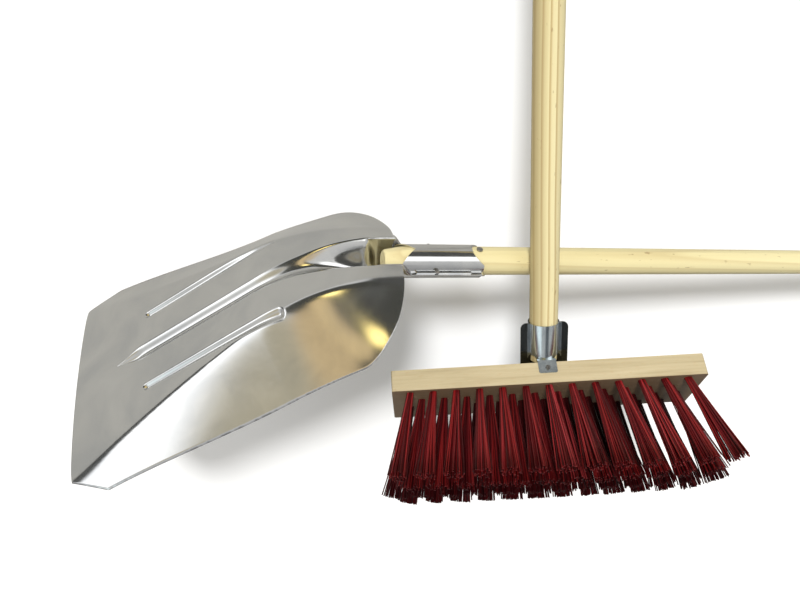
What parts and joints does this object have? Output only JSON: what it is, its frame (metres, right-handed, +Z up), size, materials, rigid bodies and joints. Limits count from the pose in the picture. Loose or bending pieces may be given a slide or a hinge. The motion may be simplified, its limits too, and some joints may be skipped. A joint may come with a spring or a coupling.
{
  "type": "scoop shovel and street broom set",
  "caption": "Long-handled aluminium scoop shovel with pressed ribs, and a street broom with red bristle tufts, lying crosswise.",
  "frame": {"origin": "middle of the underside of the box around the set, on the floor that it lies on", "axes": "+Z up from the floor, +X roughly along the shovel's handle away from the blade, +Y roughly along the broom's handle away from its head"},
  "size_m": [1.5688, 1.3662, 0.3229],
  "materials": {
    "aluminium_sheet": "rolled sheet, polished",
    "pine_handle": "turned and sanded pine",
    "beech_block": "planed hardwood",
    "zinc_sheet": "zinc plated",
    "rivet_steel": "plain",
    "red_bristle": "satin filament"
  },
  "bodies": {
    "shovel": {"shovel_blade": "aluminium_sheet", "socket_cover": "aluminium_sheet", "socket_rivets": "rivet_steel", "socket_nail": "rivet_steel", "shovel_handle": "pine_handle"},
    "broom": {"broom_block": "beech_block", "broom_handle": "pine_handle", "bracket_front": "zinc_sheet", "bracket_back": "zinc_sheet", "bracket_nails": "rivet_steel", "tab_nail": "rivet_steel", "handle_nail": "rivet_steel", "bristle_row_1": "red_bristle", "bristle_row_2": "red_bristle", "bristle_row_3": "red_bristle", "bristle_row_4": "red_bristle", "anchor_wires_1": "rivet_steel", "anchor_wires_2": "rivet_steel", "anchor_wires_3": "rivet_steel", "anchor_wires_4": "rivet_steel"}
  },
  "joints": [
    {"name": "broom_lift", "type": "slide", "parent": "shovel", "child": "broom", "axis": [0, 0, 1], "range_m": [0, 0.35]}
  ]
}
